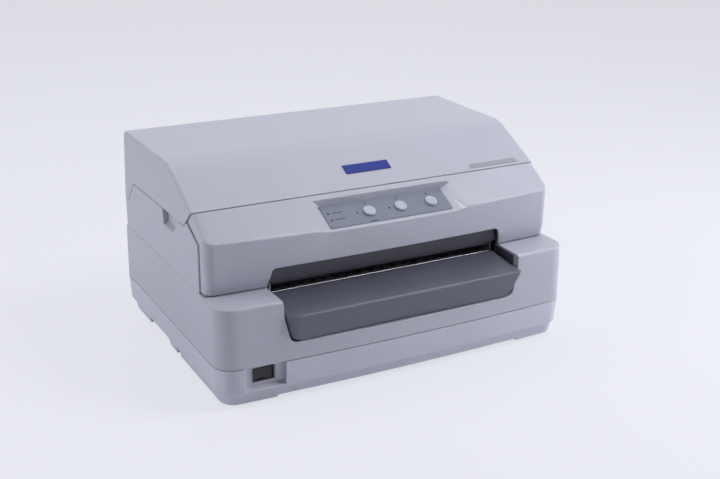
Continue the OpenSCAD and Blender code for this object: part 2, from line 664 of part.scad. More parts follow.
module feed_roller(y) {
  rod_x(-frame_x - 1.2, gear_x + gear_w - eps, y, roller_z, shaft_r);
  sleeves(y, roller_z, feed_r);
}
module front_feed_roller() color(black_c) feed_roller(front_roller_y);
module rear_feed_roller() color(black_c) feed_roller(rear_roller_y);
module front_roller_gear() color("white")
  spur_gear(roller_teeth, 0, front_roller_y, roller_z, shaft_r + 0.02);
module rear_roller_gear() color("white")
  spur_gear(roller_teeth, 0, rear_roller_y, roller_z, shaft_r + 0.02);
module idler_gear() color("white")
  spur_gear(idler_teeth, 0.5, print_y, roller_z, shaft_r + run_gap);
module motor_pinion() color([0.8, 0.65, 0.3]) {
  spur_gear(pinion_teeth, 0, print_y, pinion_z, 2.5);
  rod_x(frame_in - 3, gear_x + gear_w, print_y, pinion_z, 2.5);
}

module feed_motor() color(dark_c) difference() {
  union() {
    block(frame_in - 34, frame_in - 0.1, print_y - 21, print_y + 21, pinion_z - 21, pinion_z + 20.5);
    rod_x(frame_in - 0.2, frame_x, print_y, pinion_z, 11);
  }
  rod_x(frame_in - 3.2, frame_x + 1, print_y, pinion_z, 2.5 + run_gap);
}

// ---------- bezel and control panel ----------

bezel_slope = atan((cover_front_z - 0.4 - ridge_z) / (cover_y - 0.4 - bezel_y));

// dt and df: inset of the slanted face and of the front face
function bezel_profile(dt, df) = let (a = bezel_slope, y2 = cover_y + 22,
    yr = bezel_y + df, zr = ridge_z + df * tan(a) - dt / cos(a), r = 3)
  concat([[y2, shoulder_z + 1 + dt * 0.4], [yr + 3.5, shoulder_z + 1 + dt * 0.4],
    [yr, shoulder_z + 13.5]],
    arc(yr + r, zr - r * (1 - sin(a)) / cos(a), r, 180, 90 + a, 4),
    [[y2, ridge_z + (y2 - bezel_y) * tan(a) - dt / cos(a)]]);

module bezel_slice(x, dt, df) translate([x, 0, 0]) along_x(-eps / 2, eps / 2)
  polygon(bezel_profile(dt, df));

module bezel_block(w, d, rf, rt) hull() {
  for (s = [-1, 1], k = [0:4]) bezel_slice(s * (w - rf + rf * sin(22.5 * k)),
    d + rt * (1 - cos(22.5 * k)), d + rf * (1 - cos(22.5 * k)));
  for (u = [-0.8:0.2:0.8]) bezel_slice(u * (w - rf), d, d - front_bow * (1 - u * u));
}

// pocket of the control panel, grown by g
module panel_pocket(g) translate([panel_x, 0, 0]) hull() {
  w = overlay_w / 2 + g;
  on_panel() linear_extrude(eps) polygon(round_rect(w + 1.1, -6, panel_len + g, 1, 2.5));
  on_panel() translate([0, 0, -g]) linear_extrude(eps)
    polygon(round_rect(w, -6, panel_len - 0.5 + g, 1, 2.5));
  translate([0, bezel_y, ridge_z]) rotate([bezel_slope, 0, 0]) translate([0, 0, 0.6])
    linear_extrude(eps) polygon([[-w - 17.5, -12], [w + 17.5, -12], [w + 11.5, 29 + g],
      [w + 8.5, 32 + g], [-w - 8.5, 32 + g], [-w - 11.5, 29 + g]]);
}

slot_shape = let (r = [[slot_hw + 0.3, shoulder_z - 2], [slot_hw - 0.7, shoulder_z + 5],
  [slot_hw - 2, shoulder_z + 11.5], [slot_hw - 3.1, shoulder_z + 15.5],
  [slot_hw - 4.6, shoulder_z + 18.2], [slot_hw - 7.2, shoulder_z + 19.4]])
  concat(r, mirror_x(r));

module front_bezel() color(shell_c) difference() {
  union() {
    difference() {
      bezel_block(bezel_hw, 0, 9, 1.6);
      bezel_block(bezel_hw - wall, wall, 6.4, 0.6);
      block(-bezel_hw + wall, bezel_hw - wall, bezel_y + wall + 3, cover_y + 30,
        shoulder_z - 5, shoulder_z + 12);
      // everything behind the seam to the side walls
      along_x(-hw, hw) polygon([[side_front_y - half_gap, shoulder_z - 5],
        [side_front_y - half_gap, ridge_z - 4.2], [cover_y + 12 - half_gap, ridge_z + 9.5],
        [cover_y + 12, body_h], [cover_y + 40, body_h], [cover_y + 40, shoulder_z - 5]]);
      above_seam(-half_gap);
    }
    intersection() {
      panel_pocket(2.2);
      bezel_block(bezel_hw, 0, 9, 1.6);
      block(-hw, hw, -200, cover_y - 2, 0, 300);
    }
    // lip under the front edge of the cover
    along_x(-bezel_hw + 6, bezel_hw - 6) translate([cover_y, cover_front_z])
      polygon([[-4, -4], [1.6, -2.8], [9, 0.2], [9, -2], [2, -5.2], [-4, -6.4]]);
    // bosses against the front deck
    both_sides() block(bezel_hw - 39.5, bezel_hw - 29.5, bezel_y + 3.4, deck_front - 0.1,
      shoulder_z + 4, shoulder_z + 14);
    both_sides() block(mech_x + 0.2, bezel_hw - 1, deck_front + 2, deck_front + 5,
      shoulder_z + 3, ridge_z - 12);
    // posts of the panel board
    on_panel() for (x = [overlay_x0 + 4, overlay_x1 - 7]) rod_z(x, button_s - 9.5, -6, -1, 2);
  }
  along_y(bezel_y - 10, bezel_y + 14) polygon(slot_shape);
  panel_pocket(0);
  on_panel() {
    for (k = [-1:1]) rod_z(button_x0 + k * button_pitch, button_s, -10, 5, button_r + button_gap, 48);
    for (p = lamp_xy) rod_z(p[0], p[1], -5, 5, 1.3);
  }
}

lamp_xy = [[overlay_x0 + 5, button_s + 5], [overlay_x0 + 5, button_s - 4],
  [button_x0 - button_pitch - 12.5, button_s + 0.7], [button_x0 - 12.2, button_s + 0.7]];

module control_overlay() color([0.52, 0.57, 0.63]) on_panel() difference() {
  translate([panel_x, 0, 0]) linear_extrude(overlay_t)
    polygon(round_rect(overlay_w / 2, button_s - 13.8, button_s + 16.2, 2.5, 1.5));
  for (k = [-1:1]) rod_z(button_x0 + k * button_pitch, button_s, -1, 3, button_r + button_gap, 48);
  for (p = lamp_xy) rod_z(p[0], p[1], -1, 3, 1.2);
}

module panel_board() color(board_c) on_panel() {
  block(overlay_x0, overlay_x1 - 3, button_s - 12.5, button_s + 12.5, -7.6, -6);
  for (k = [-1:1]) block(button_x0 + k * button_pitch - 3, button_x0 + k * button_pitch + 3,
    button_s - 3, button_s + 3, -6.1, -4.5);
}

module status_lamps() color([0.6, 0.8, 0.6]) on_panel()
  for (p = lamp_xy) rod_z(p[0], p[1], -6, overlay_t + 0.3, 1.1);

module push_button(k) color([0.86, 0.86, 0.88])
  on_panel() translate([button_x0 + k * button_pitch, button_s, 0]) {
    rod_z(0, 0, -3, overlay_t + button_out - 0.4, button_r, 48);
    rod_z(0, 0, overlay_t + button_out - 0.4 - eps, overlay_t + button_out, button_r - 0.5, 48);
    rod_z(0, 0, -3.2, -2.9, 1.5);
  }
module button_left() push_button(-1);
module button_middle() push_button(0);
module button_right() push_button(1);

// ---------- tilting mechanism ----------

plate_foot = path_z + 2.5;            // lower edge of the side plates
plate_shape = [[deck_front, plate_foot + 6.5], [deck_front + 6, plate_foot],
  [hinge_y - 40.5, plate_foot], [hinge_y - 28.5, plate_foot + 6.5], [hinge_y - 6, hinge_z - 3.4],
  [hinge_y, hinge_z - 3.3], [hinge_y, hinge_z + 3.3], [hinge_y - 6, hinge_z + 3.4],
  [hinge_y - 40.5, 128], [20, 134], [deck_front + 32, 134], [deck_front + 24, 146], [deck_front, 132]];

module upper_plate() difference() {
  union() {
    along_x(mech_in, mech_x) polygon(plate_shape);
    rod_x(mech_in, mech_x, hinge_y, hinge_z, 3.3);
  }
  rod_x(mech_in - 1, mech_x + 1, hinge_y, hinge_z, pin_r + run_gap);
  rod_x(mech_in - 1, mech_x + 1, guide_y, guide_z, guide_r + 0.02);
  for (y = [front_roller_y, rear_roller_y]) rod_x(mech_in - 1, mech_x + 1, y, pinch_z, 2.5 + run_gap);
  rod_x(mech_in - 1, mech_x + 1, lever_y, lever_z, lever_r + run_gap);
  rod_x(mech_in - 1, mech_x + 1, belt_y + 20, 110, 7);
}
module upper_plate_right() color(steel_c) upper_plate();
module upper_plate_left() color(steel_c) mirror([1, 0, 0]) upper_plate();

module front_deck() color(steel_c) {
  block(-mech_in + 0.1, mech_in - 0.1, deck_front, rail_y - 6, deck_z, deck_z + 1.5);
  block(-mech_in + 0.1, mech_in - 0.1, deck_front, deck_front + 1.5, 101, deck_z + 0.2);
}

rdeck_y0 = belt_y - 16;
rdeck_y1 = belt_y + 42;
module rear_deck() color(steel_c) difference() {
  union() {
    block(-mech_in + 0.1, mech_in - 0.1, rdeck_y0, rdeck_y1, rear_deck_z, rear_deck_z + plate_t);
    block(-mech_in + 0.1, mech_in - 0.1, rdeck_y1 - 1.5, rdeck_y1, 101, rear_deck_z + 0.2);
    rod_z(pulley_x, belt_y, belt_z - 2, rear_deck_z + 0.2, 2.5);
  }
  rod_z(-pulley_x, belt_y, rear_deck_z - 1, rear_deck_z + 3, 3);
  for (x = [-70, 0, 70])
    block(x - 22, x + 22, rdeck_y1 - 28, rdeck_y1 - 8, rear_deck_z - 1, rear_deck_z + 3);
}

guide_hw = table_hw - 1.2;
guide_in = table_hw - 7;              // half width behind the slot's side guides
module upper_paper_guide() color(dark_c) {
  difference() {
    along_x(-guide_hw, guide_hw) polygon([
      [bezel_y + 4, shoulder_z + 22], [bezel_y + 4, shoulder_z + 5], [bezel_y + 5, shoulder_z + 2],
      [bezel_y + 7.5, shoulder_z - 0.4], [bezel_y + 11, shoulder_z - 1.8],
      [front_roller_y - 12, path_z + 3.6], [front_roller_y - 12, path_z + 5.4],
      [bezel_y + 11.6, shoulder_z + 0.2], [bezel_y + 8.6, shoulder_z + 1.6],
      [bezel_y + 6.6, shoulder_z + 4], [bezel_y + 6.2, shoulder_z + 6],
      [bezel_y + 6.2, shoulder_z + 22]]);
    both_sides() {
      // lower edge that curves up at both ends
      along_y(bezel_y, deck_front + 1) polygon(concat([[guide_hw + 1, path_z]],
        [for (k = [0:5]) [guide_hw - 8 * cos(18 * k), shoulder_z - 1.9 + 8 * (1 - cos(18 * k))]],
        [[guide_hw + 1, shoulder_z + 6.1]]));
      // room for the side guides
      block(guide_in, guide_hw + 1, bay_back - 0.5, front_roller_y, path_z, shoulder_z + 4);
    }
  }
  for (x = [-100:40:100]) block(x - 1, x + 1, bezel_y + 6, deck_front - 0.1, 104, deck_z - 0.5);
}

module guide_shaft() color([0.85, 0.86, 0.88]) rod_x(-mech_x, mech_x, guide_y, guide_z, guide_r);

module front_rail() color(steel_c) {
  block(-mech_in + 0.1, mech_in - 0.1, rail_y - 4, rail_y - 2.5, rail_z, rail_z + rail_h);
  block(-mech_in + 0.1, mech_in - 0.1, rail_y - 4, rail_y + 5, rail_z + rail_h - 1.5, rail_z + rail_h);
}

module carriage_motor() color(dark_c) difference() {
  union() {
    block(-pulley_x - 21, -pulley_x + 21, belt_y - 21, belt_y + 21, rear_deck_z + plate_t, 148);
    rod_z(-pulley_x, belt_y, rear_deck_z + 0.2, rear_deck_z + plate_t + 0.1, 2.9);
  }
  rod_z(-pulley_x, belt_y, rear_deck_z - 1, 130, 2.5 + run_gap);
}

module pulley(x, bore) difference() {
  union() {
    rod_z(x, belt_y, belt_z, belt_z + belt_w, pulley_r - 0.2, 48);
    rod_z(x, belt_y, belt_z - 1.2, belt_z - 0.3, pulley_r + 1.8, 48);
    rod_z(x, belt_y, belt_z + belt_w + 0.3, belt_z + belt_w + 1.2, pulley_r + 1.8, 48);
    rod_z(x, belt_y, belt_z - 1, belt_z + belt_w + 1, pulley_r - 2);
  }
  if (bore > 0) rod_z(x, belt_y, belt_z - 3, belt_z + belt_w + 3, bore);
}
module drive_pulley() color(steel_c) {
  pulley(-pulley_x, 0);
  rod_z(-pulley_x, belt_y, belt_z, 129.5, 2.5);
}
module idler_pulley() color(steel_c) pulley(pulley_x, 2.5 + run_gap);

module belt_outline(r) {
  translate([-pulley_x, belt_y]) circle(r = r, $fn = 48);
  translate([pulley_x, belt_y]) circle(r = r, $fn = 48);
  translate([-pulley_x, belt_y - r]) square([2 * pulley_x, 2 * r]);
}
module timing_belt() color(black_c) translate([0, 0, belt_z]) linear_extrude(belt_w) difference() {
  belt_outline(pulley_r + belt_t);
  belt_outline(pulley_r);
}

module pinch_roller(y) {
  rod_x(-mech_x, mech_x, y, pinch_z, 2.5);
  sleeves(y, pinch_z, pinch_r);
}
module front_pinch_roller() color(black_c) pinch_roller(front_roller_y);
module rear_pinch_roller() color(black_c) pinch_roller(rear_roller_y);

cart_y0 = print_y - 47;
cart_y1 = print_y - 20;
cart_top = 150;
cart_hw = mech_in - 13.4;
knob_x = -cart_hw + 30;
knob_y = (cart_y0 + cart_y1) / 2;
ribbon_z = path_z + 1.4;
arm_x = cart_hw - 13.8;              // inner side of the ribbon guides

module ribbon_cartridge() color(black_c) {
  difference() {
    block(-cart_hw, cart_hw, cart_y0, cart_y1, deck_z + 1.5, cart_top);
    rod_z(knob_x, knob_y, cart_top - 5, cart_top + 1, 2.05);
    for (x = [-60:60:60]) block(x - 20, x + 20, cart_y0 - 1, cart_y0 + 1.2, deck_z + 8, cart_top - 8);
  }
  both_sides() along_x(arm_x, cart_hw) polygon([[cart_y1 - 0.1, deck_z + 1.5], [print_y - 11, 104],
    [print_y - 9, ribbon_z], [print_y + 8, ribbon_z], [print_y + 8, 100], [print_y - 3, 116],
    [print_y - 9, 136], [cart_y1 - 0.1, 140]]);
}

module ink_ribbon() color(black_c)
  block(-arm_x + 0.1, arm_x - 0.1, print_y - 6, print_y + 7, ribbon_z, ribbon_z + 0.3);

module ribbon_knob() color([0.2, 0.35, 0.6]) {
  rod_z(knob_x, knob_y, cart_top - 4.5, cart_top + 1, 2);
  difference() {
    rod_z(knob_x, knob_y, cart_top + 0.3, cart_top + 8, 9, 48);
    for (a = [0:30:330]) translate([knob_x, knob_y, 0]) rotate([0, 0, a])
      rod_z(9.6, 0, cart_top + 2, cart_top + 12, 1.4, 16);
  }
}

module release_shaft() color(steel_c) rod_x(-mech_x - 4, mech_x + 4, lever_y, lever_z, lever_r);

module release_lever() difference() {
  union() {
    translate([0, lever_y, lever_z]) along_x(mech_x + 0.6, mech_x + 3.8)
      polygon([[-5, -22], [4, -22], [4, -12], [7, 0], [8, 14], [25, 46], [17, 46], [-6, 10], [-7, 0]]);
    translate([0, lever_y, lever_z]) along_x(mech_x + 0.6, mech_x + 11)
      polygon([[16, 43], [26, 43], [26, 49], [18, 49]]);
  }
  rod_x(mech_x, mech_x + 5, lever_y, lever_z, lever_r + 0.02);
}
module release_lever_right() color([0.3, 0.5, 0.4]) release_lever();
module release_lever_left() color([0.3, 0.5, 0.4]) mirror([1, 0, 0]) release_lever();

module carriage() color(black_c) difference() {
  union() {
    block(-carriage_hw, carriage_hw, print_y - 17, guide_y + 8, carriage_z, carriage_top);
    block(-carriage_hw, carriage_hw, rail_y - 3, print_y - 16,
      rail_z + rail_h + 0.3, rail_z + rail_h + 3.2);
    block(-12, 12, guide_y + 7, belt_y - pulley_r - belt_t - 0.3, belt_z - 2.5, belt_z + belt_w + 1.5);
    block(-12, 12, belt_y - pulley_r - belt_t - 0.4, belt_y - pulley_r + 2, belt_z - 2.5, belt_z - 0.3);
    block(-12, 12, belt_y - pulley_r + 0.3, belt_y - pulley_r + 2, belt_z - 2.5, belt_z + belt_w);
  }
  rod_x(-carriage_hw - 1, carriage_hw + 1, guide_y, guide_z, guide_r + run_gap);
  block(-19.3, 19.3, print_y - 14.3, print_y + 19.3, carriage_z - 1, carriage_top + 1);
}

module print_head() color(dark_c) {
  difference() {
    block(-19, 19, print_y - 14, print_y + 19, 106, 150);
    for (k = [0:5]) block(-20, 20, print_y - 11 + 5 * k, print_y - 8.5 + 5 * k, 134, 151);
  }
  block(-22, 22, print_y - 16.5, print_y + 23, carriage_top, carriage_top + 2.5);
  hull() {
    block(-12, 12, print_y - 7, print_y + 7, 105.9, 106.1);
    block(-6, 6, print_y - 3, print_y + 3, ribbon_z + 0.8, ribbon_z + 1);
  }
}

lower_case();
main_housing();
rubber_feet();
front_table();
lower_guide_plate();
platen_bar();
side_frame_left();
side_frame_right();
base_plate();
main_board();
power_supply();
ac_inlet();
parallel_port();
serial_port();
usb_port();
power_switch_body();
feed_motor();
frame_screws();
hinge_pins();
power_rocker();
front_feed_roller();
rear_feed_roller();
front_roller_gear();
rear_roller_gear();
idler_gear();
motor_pinion();
front_bezel();
control_overlay();
panel_board();
status_lamps();
upper_plate_left();
upper_plate_right();
front_deck();
rear_deck();
upper_paper_guide();
guide_shaft();
front_rail();
carriage_motor();
timing_belt();
drive_pulley();
idler_pulley();
front_pinch_roller();
rear_pinch_roller();
ribbon_cartridge();
ink_ribbon();
ribbon_knob();
release_shaft();
release_lever_left();
release_lever_right();
button_left();
button_middle();
button_right();
carriage();
print_head();
top_cover();
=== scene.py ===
# %% [markdown]
# # A flatbed dot matrix printer, dressed for the camera
# The printer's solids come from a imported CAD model, which is loaded as a fixed frame in metres.
# This script gives them rounded edges, finishes, small trim, a studio and a camera.

import json
import math

import bmesh
import bpy
from mathutils import Matrix, Vector


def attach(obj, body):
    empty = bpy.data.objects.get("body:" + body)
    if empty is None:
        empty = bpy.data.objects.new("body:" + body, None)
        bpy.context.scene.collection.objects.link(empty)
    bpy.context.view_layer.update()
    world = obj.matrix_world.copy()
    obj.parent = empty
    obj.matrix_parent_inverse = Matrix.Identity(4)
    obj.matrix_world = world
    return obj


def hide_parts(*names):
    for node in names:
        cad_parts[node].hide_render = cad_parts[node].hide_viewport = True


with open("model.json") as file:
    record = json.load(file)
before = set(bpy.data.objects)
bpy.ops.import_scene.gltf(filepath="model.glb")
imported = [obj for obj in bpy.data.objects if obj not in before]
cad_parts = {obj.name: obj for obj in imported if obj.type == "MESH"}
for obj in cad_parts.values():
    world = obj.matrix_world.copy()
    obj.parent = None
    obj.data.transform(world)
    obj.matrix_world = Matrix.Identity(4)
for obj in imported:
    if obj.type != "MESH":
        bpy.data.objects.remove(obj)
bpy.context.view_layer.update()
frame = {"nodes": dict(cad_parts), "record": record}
MM = 0.001
body_of = {n: b for b, nodes in frame["record"]["behaviour"]["bodies"].items() for n in nodes}

# %% [markdown]
# ## Camera
# A product picture of this kind is taken from the left, a little above, with a lens of medium
# length, so that the lines of the case still converge slightly. The camera's place and its three
# angles are set directly, because a "look at" point would hide them.

# %% Camera
CAMERA_AT = Vector((-0.5092, -0.9713, 0.4999))
YAW, PITCH, ROLL = (math.radians(a) for a in (-28.51, -20.27, 0.70))
LENS, SENSOR = 55.94, 36.0


def camera_turn(yaw, pitch, roll):
    """Rotation matrix of a camera that looks along +Y at yaw 0 and pitch 0."""
    ahead = Vector((-math.sin(yaw) * math.cos(pitch), math.cos(yaw) * math.cos(pitch), math.sin(pitch)))
    right = ahead.cross(Vector((0, 0, 1))).normalized()
    up = right.cross(ahead)
    side = math.cos(roll) * right + math.sin(roll) * up
    top = math.cos(roll) * up - math.sin(roll) * right
    return Matrix((side, top, -ahead)).transposed()


camera = bpy.data.objects.new("camera", bpy.data.cameras.new("camera"))
camera.data.lens, camera.data.sensor_width = LENS, SENSOR
camera.matrix_world = Matrix.Translation(CAMERA_AT) @ camera_turn(YAW, PITCH, ROLL).to_4x4()
bpy.context.scene.collection.objects.link(camera)
bpy.context.scene.camera = camera
print("camera distance to the origin: %.2f m" % CAMERA_AT.length)

# %% [markdown]
# ## Colours and shader nodes
# Colours are written as the hex values that a screen shows. The shader works in linear light, so
# one function turns them over. A second small function adds any shader node, with its settings
# and with what feeds it, which keeps each material readable.

# %% Helpers for colours and nodes
def linear(hex_colour):
    """Linear RGBA of an sRGB hex colour such as 'C0C2CE'."""
    channels = [int(hex_colour[i : i + 2], 16) / 255 for i in (0, 2, 4)]
    return [c / 12.92 if c <= 0.04045 else ((c + 0.055) / 1.055) ** 2.4 for c in channels] + [1.0]


def add(tree, kind, feeds=None, **settings):
    """Adds one shader node; feeds maps an input to a value or to the socket that drives it."""
    made = tree.nodes.new("ShaderNode" + kind)
    for key, value in settings.items():
        setattr(made, key, value)
    for key, value in (feeds or {}).items():
        if isinstance(value, bpy.types.NodeSocket):
            tree.links.new(value, made.inputs[key])
        else:
            made.inputs[key].default_value = value
    return made


def new_material(name):
    """An empty material and its node tree."""
    made = bpy.data.materials.new(name)
    made.use_nodes = True
    made.node_tree.nodes.clear()
    return made, made.node_tree


print("mid grey in linear light: %.3f" % linear("808080")[0])

# %% [markdown]
# ## Studio
# The printer stands on a pale sheet. A soft box behind and above lights the top, one at the left
# lights that side, and two smaller ones at the right draw the light lines along the front edges
# and let the front fade from right to left. The room is dim in front and brighter behind. What the
# camera sees of the sheet is mostly its own plain colour, so that it looks even and still keeps the
# contact shadow. A small share of that colour also lights the printer from below, as a pale table does.

# %% Room
scene = bpy.context.scene
scene.view_settings.view_transform = "Standard"
SHEET = linear("EBECF3")
SHEET_LIT = linear("F2F3FA")
ROOM_TINT = linear("FAFAFF")
BRIGHT_SIDE = Vector((0.1, 1.0, 0.3)).normalized()
ROOM_LIGHT, BRIGHT_LIGHT = 0.06, 0.64
BRIGHT_FALLOFF = 2.0

world = bpy.data.worlds.new("studio")
scene.world = world
world.use_nodes = True
world.node_tree.nodes.clear()
w = world.node_tree
path = add(w, "LightPath")
seen = add(w, "Math", {0: path.outputs["Is Camera Ray"], 1: path.outputs["Is Glossy Ray"]},
           operation="MAXIMUM")
seen = add(w, "Math", {0: seen.outputs[0], 1: path.outputs["Is Transmission Ray"]}, operation="MAXIMUM")
towards = add(w, "TexCoord").outputs["Generated"]
facing = add(w, "VectorMath", {0: towards, 1: BRIGHT_SIDE}, operation="DOT_PRODUCT")
ahead = add(w, "Math", {0: facing.outputs["Value"], 1: 0.0}, operation="MAXIMUM")
spread = add(w, "Math", {0: ahead.outputs[0], 1: BRIGHT_FALLOFF}, operation="POWER")
glow = add(w, "Math", {0: spread.outputs[0], 1: BRIGHT_LIGHT, 2: ROOM_LIGHT}, operation="MULTIPLY_ADD")
ambient = add(w, "Background", {"Color": ROOM_TINT, "Strength": glow.outputs[0]})
backdrop = add(w, "Background", {"Color": SHEET, "Strength": 1.0})
both = add(w, "MixShader", {0: seen.outputs[0], 1: ambient.outputs[0], 2: backdrop.outputs[0]})
add(w, "OutputWorld", {"Surface": both.outputs[0]})
print("room light: %.2f in front, %.2f behind" % (ROOM_LIGHT, ROOM_LIGHT + BRIGHT_LIGHT))

# %% Sheet under the printer
FLOOR_HALF = 9.0
PLAIN_FOR_ALL, PLAIN_FOR_CAMERA = 0.15, 0.65  # the camera sees the sum of both

sheet_material, t = new_material("paper_sweep_matt")
path = add(t, "LightPath")
lit = add(t, "BsdfDiffuse", {"Color": SHEET_LIT})
plain = add(t, "Emission", {"Color": SHEET, "Strength": 1.0})
share = add(t, "Math", {0: path.outputs["Is Camera Ray"], 1: PLAIN_FOR_CAMERA, 2: PLAIN_FOR_ALL},
            operation="MULTIPLY_ADD")
mixed = add(t, "MixShader", {0: share.outputs[0], 1: lit.outputs[0], 2: plain.outputs[0]})
add(t, "OutputMaterial", {"Surface": mixed.outputs[0]})

bm = bmesh.new()
bmesh.ops.create_grid(bm, x_segments=2, y_segments=2, size=FLOOR_HALF)
floor_mesh = bpy.data.meshes.new("floor")
bm.to_mesh(floor_mesh)
bm.free()
floor = bpy.data.objects.new("floor", floor_mesh)
floor.data.materials.append(sheet_material)
scene.collection.objects.link(floor)
print("floor is %d m wide, at z = 0" % (2 * FLOOR_HALF))

# %% Soft boxes
BOX_TINT = linear("FBFBFF")[:3]
SOFT_BOXES = {
    # name: place, point it faces, width and height in metres, watts
    "box_behind": ((0.25, 0.65, 1.75), (0.05, 0.05, 0.15), (1.6, 1.4), 8.1),
    "box_edges": ((0.72, -0.52, 1.28), (0.05, -0.05, 0.12), (0.5, 0.5), 10.8),
    "box_right": ((1.0, -0.45, 0.3), (0.2, -0.1, 0.1), (0.4, 0.4), 3.7),
    "box_left": ((-1.45, 0.35, 0.8), (-0.1, 0.05, 0.12), (0.9, 0.9), 8.5),
}
for name, (place, facing, size, watts) in SOFT_BOXES.items():
    lamp = bpy.data.lights.new(name, "AREA")
    lamp.shape, lamp.size, lamp.size_y = "RECTANGLE", size[0], size[1]
    lamp.energy = watts
    lamp.color = BOX_TINT
    holder = bpy.data.objects.new(name, lamp)
    holder.location = place
    holder.rotation_euler = (Vector(facing) - Vector(place)).to_track_quat("-Z", "Y").to_euler()
    scene.collection.objects.link(holder)
print("soft boxes:", len(SOFT_BOXES))

# %% [markdown]
# ## Moulded plastics
# The housings are injection moulded ABS with a fine spark-eroded grain. It scatters the light, so
# the broad faces look matt, with a faint sheen along the rounded edges. The lower case takes the pale
# grey painted lighter, which is painted light. The table and the guide above it are the same plastic
# in slate; the guide and the strips at the bay's ends take it painted darker, which is painted shade.
# One function makes them all, since only the colour, the grain and the gloss differ. The real grain
# is about 0.3 mm across; it is drawn at 1.1 to 1.3 mm, because anything finer would vanish between
# the pixels.

# %% Moulded plastic
NOISE_LOW, NOISE_HIGH = 0.3, 0.7  # most of a noise pattern lies between these
CLOUD_MM = 45
GRAIN_SHARE, CLOUD_SHARE = 0.35, 0.65
PLASTIC_SPREAD = 0.05  # of the roughness, either way
ABS_IOR = 1.53


def moulded_plastic(name, hex_colour, roughness, grain_mm=1.3, grain_depth_mm=0.03, mottle=0.035):
    """A moulded plastic with grain, slight mottling and uneven gloss."""
    made, t = new_material(name)
    place = add(t, "TexCoord").outputs["Object"]
    grain = add(t, "TexNoise", {"Vector": place, "Scale": 1 / (grain_mm * MM), "Detail": 3.0,
                                "Roughness": 0.6})
    cloud = add(t, "TexNoise", {"Vector": place, "Scale": 1 / (CLOUD_MM * MM), "Detail": 4.0,
                                "Roughness": 0.55})
    speck = add(t, "Math", {0: grain.outputs[0], 1: GRAIN_SHARE}, operation="MULTIPLY")
    blend = add(t, "Math", {0: cloud.outputs[0], 1: CLOUD_SHARE, 2: speck.outputs[0]},
                operation="MULTIPLY_ADD")
    shade = add(t, "MapRange", {"Value": blend.outputs[0], 1: NOISE_LOW, 2: NOISE_HIGH,
                                3: 1 - mottle, 4: 1 + mottle})
    colour = add(t, "VectorMath", {0: linear(hex_colour)[:3], "Scale": shade.outputs[0]}, operation="SCALE")
    gloss = add(t, "MapRange", {"Value": cloud.outputs[0], 1: NOISE_LOW, 2: NOISE_HIGH,
                                3: roughness - PLASTIC_SPREAD, 4: roughness + PLASTIC_SPREAD})
    bump = add(t, "Bump", {"Height": grain.outputs[0], "Strength": 0.5, "Distance": grain_depth_mm * MM})
    shader = add(t, "BsdfPrincipled", {"Base Color": colour.outputs[0], "Roughness": gloss.outputs[0],
                                       "IOR": ABS_IOR, "Normal": bump.outputs[0]})
    add(t, "OutputMaterial", {"Surface": shader.outputs[0]})
    return made


abs_grey = moulded_plastic("abs_pale_grey_spark_grain", "BCBDCA", 0.36, grain_depth_mm=0.02)
# The lower case takes the pale grey painted lighter, as painted light on its faces.
abs_grey_painted_lighter = moulded_plastic("abs_pale_grey_painted_lighter_spark_grain", "CACBD8", 0.38, grain_depth_mm=0.02)
abs_slate = moulded_plastic("abs_slate_satin", "636472", 0.34, grain_mm=1.1, grain_depth_mm=0.015)
# The same slate painted darker, as painted shade in the slot and in the gaps at the bay's ends.
abs_slate_painted_shade = moulded_plastic("abs_slate_painted_shade_satin", "50515B", 0.40, grain_mm=1.1, grain_depth_mm=0.02)
abs_black = moulded_plastic("abs_black_satin", "1C1D22", 0.38, grain_depth_mm=0.012)
abs_button = moulded_plastic("abs_button_polished", "BBBECD", 0.30, grain_depth_mm=0.004, mottle=0.015)
abs_knob = moulded_plastic("abs_blue_satin", "2F5C9A", 0.36, grain_depth_mm=0.01)
abs_lever = moulded_plastic("abs_green_satin", "3E7F60", 0.36, grain_depth_mm=0.01)
acetal = moulded_plastic("acetal_natural", "E8E6DC", 0.33, grain_depth_mm=0.006, mottle=0.02)
print("plastics made:", len([m for m in bpy.data.materials if m.name.startswith(("abs", "acetal"))]))

# %% [markdown]
# ## Steel, rubber, film and board
# Inside, folded zinc plated sheet carries ground steel shafts. Zinc shows a cloudy spangle about
# 8 mm across; ground steel shows fine rings round the shaft. Both are metals, so their colour is
# the colour of the reflection and the IOR stays at its default. The finishes from rubber to ink are
# not metals. They share a plainer function with a single fine pattern.

# %% Metals
METAL_DARK, METAL_PALE = 0.88, 1.0  # of the colour, where the spangle is darkest and palest
METAL_SPREAD = 0.08  # of the roughness, either way


def sheet_metal(name, hex_colour, roughness, spangle_mm, streak=(1, 1, 1)):
    """A metal with cloudy or streaked gloss; streak stretches the pattern along an axis."""
    made, t = new_material(name)
    place = add(t, "TexCoord").outputs["Object"]
    stretched = add(t, "Mapping", {"Vector": place, "Scale": streak})
    cloud = add(t, "TexNoise", {"Vector": stretched.outputs[0], "Scale": 1 / (spangle_mm * MM),
                                "Detail": 5.0})
    shade = add(t, "MapRange", {"Value": cloud.outputs[0], 1: NOISE_LOW, 2: NOISE_HIGH,
                                3: METAL_DARK, 4: METAL_PALE})
    colour = add(t, "VectorMath", {0: linear(hex_colour)[:3], "Scale": shade.outputs[0]}, operation="SCALE")
    gloss = add(t, "MapRange", {"Value": cloud.outputs[0], 1: NOISE_LOW, 2: NOISE_HIGH,
                                3: roughness - METAL_SPREAD, 4: roughness + METAL_SPREAD})
    shader = add(t, "BsdfPrincipled", {"Base Color": colour.outputs[0], "Metallic": 1.0,
                                       "Roughness": gloss.outputs[0]})
    add(t, "OutputMaterial", {"Surface": shader.outputs[0]})
    return made


